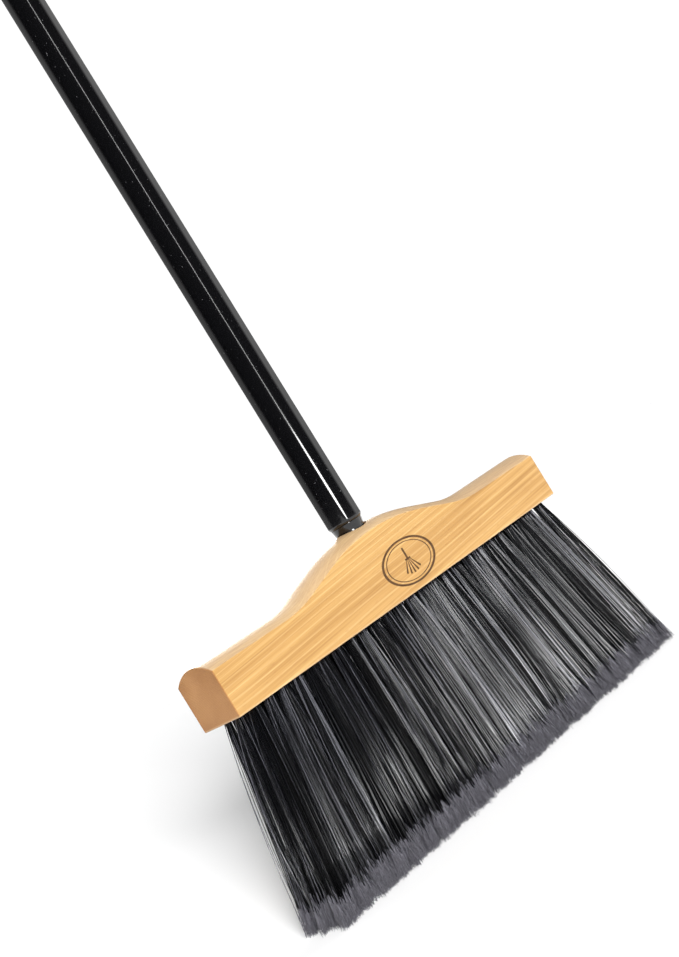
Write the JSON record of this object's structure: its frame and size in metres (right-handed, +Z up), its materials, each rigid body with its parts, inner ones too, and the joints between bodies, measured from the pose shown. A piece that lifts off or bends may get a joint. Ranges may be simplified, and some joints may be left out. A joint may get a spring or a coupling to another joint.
{
  "type": "upright broom",
  "caption": "Upright broom: crowned wooden head with fanned rows of flagged bristle tufts and a black steel handle that screws in, with a swivel hang-up cap.",
  "frame": {"origin": "centre of the bristle tips' plane, on the handle's axis", "axes": "+Z up the handle, X along the head, -Y the front face"},
  "size_m": [0.3744, 0.0488, 1.405],
  "materials": {
    "wood": "satin lacquer over beech",
    "bristle": "crimp-free synthetic filament, flagged at the tips",
    "handle_enamel": "gloss black coating",
    "cap_plastic": "moulded, semi-gloss",
    "wire": "flat galvanised wire"
  },
  "bodies": {
    "head": {"broom_block": "wood", "staples_front": "wire", "tuft_roots_front": "bristle", "staples_inner_front": "wire", "tuft_roots_inner_front": "bristle", "staples_middle": "wire", "tuft_roots_middle": "bristle", "staples_inner_back": "wire", "tuft_roots_inner_back": "bristle", "staples_back": "wire", "tuft_roots_back": "bristle"},
    "bristles_front": {"tufts_front_1": "bristle", "tufts_front_2": "bristle", "tufts_front_3": "bristle", "tufts_front_4": "bristle", "tufts_front_5": "bristle", "tufts_front_6": "bristle"},
    "bristles_inner_front": {"tufts_inner_front_1": "bristle", "tufts_inner_front_2": "bristle", "tufts_inner_front_3": "bristle", "tufts_inner_front_4": "bristle", "tufts_inner_front_5": "bristle", "tufts_inner_front_6": "bristle"},
    "bristles_middle": {"tufts_middle_1": "bristle", "tufts_middle_2": "bristle", "tufts_middle_3": "bristle", "tufts_middle_4": "bristle", "tufts_middle_5": "bristle", "tufts_middle_6": "bristle"},
    "bristles_inner_back": {"tufts_inner_back_1": "bristle", "tufts_inner_back_2": "bristle", "tufts_inner_back_3": "bristle", "tufts_inner_back_4": "bristle", "tufts_inner_back_5": "bristle", "tufts_inner_back_6": "bristle"},
    "bristles_back": {"tufts_back_1": "bristle", "tufts_back_2": "bristle", "tufts_back_3": "bristle", "tufts_back_4": "bristle", "tufts_back_5": "bristle", "tufts_back_6": "bristle"},
    "cap": {"cap_plug": "cap_plastic"},
    "handle": {"handle_tube": "handle_enamel", "threaded_tip": "handle_enamel"},
    "hanger": {"hanger": "cap_plastic", "stem_clip": "wire"}
  },
  "joints": [
    {"name": "front_row_lean", "type": "hinge", "parent": "head", "child": "bristles_front", "pos_m": [0, -0.015, 0.139], "axis": [1, 0, 0], "range_deg": [-15, 15], "stiffness_Nm_per_rad": 6},
    {"name": "inner_front_row_lean", "type": "hinge", "parent": "head", "child": "bristles_inner_front", "pos_m": [0, -0.0075, 0.139], "axis": [1, 0, 0], "range_deg": [-15, 15], "stiffness_Nm_per_rad": 6},
    {"name": "middle_row_lean", "type": "hinge", "parent": "head", "child": "bristles_middle", "pos_m": [0, 0, 0.139], "axis": [1, 0, 0], "range_deg": [-15, 15], "stiffness_Nm_per_rad": 6},
    {"name": "inner_back_row_lean", "type": "hinge", "parent": "head", "child": "bristles_inner_back", "pos_m": [0, 0.0075, 0.139], "axis": [1, 0, 0], "range_deg": [-15, 15], "stiffness_Nm_per_rad": 6},
    {"name": "back_row_lean", "type": "hinge", "parent": "head", "child": "bristles_back", "pos_m": [0, 0.015, 0.139], "axis": [1, 0, 0], "range_deg": [-15, 15], "stiffness_Nm_per_rad": 6},
    {"name": "handle_travel", "type": "slide", "parent": "head", "child": "cap", "axis": [0, 0, 1], "range_m": [0, 0.0254]},
    {"name": "handle_turn", "type": "hinge", "parent": "cap", "child": "handle", "pos_m": [0, 0, 1.373], "axis": [0, 0, 1], "range_deg": [0, 1801]},
    {"name": "hanger_swivel", "type": "hinge", "parent": "cap", "child": "hanger", "pos_m": [0, 0, 1.373], "axis": [0, 0, 1], "continuous": true}
  ],
  "couplings": [
    {"joint": "inner_front_row_lean", "follows": "front_row_lean", "ratio": 1},
    {"joint": "middle_row_lean", "follows": "front_row_lean", "ratio": 1},
    {"joint": "inner_back_row_lean", "follows": "front_row_lean", "ratio": 1},
    {"joint": "back_row_lean", "follows": "front_row_lean", "ratio": 1},
    {"joint": "handle_turn", "follows": "handle_travel", "rad_per_m": 1236.8}
  ]
}
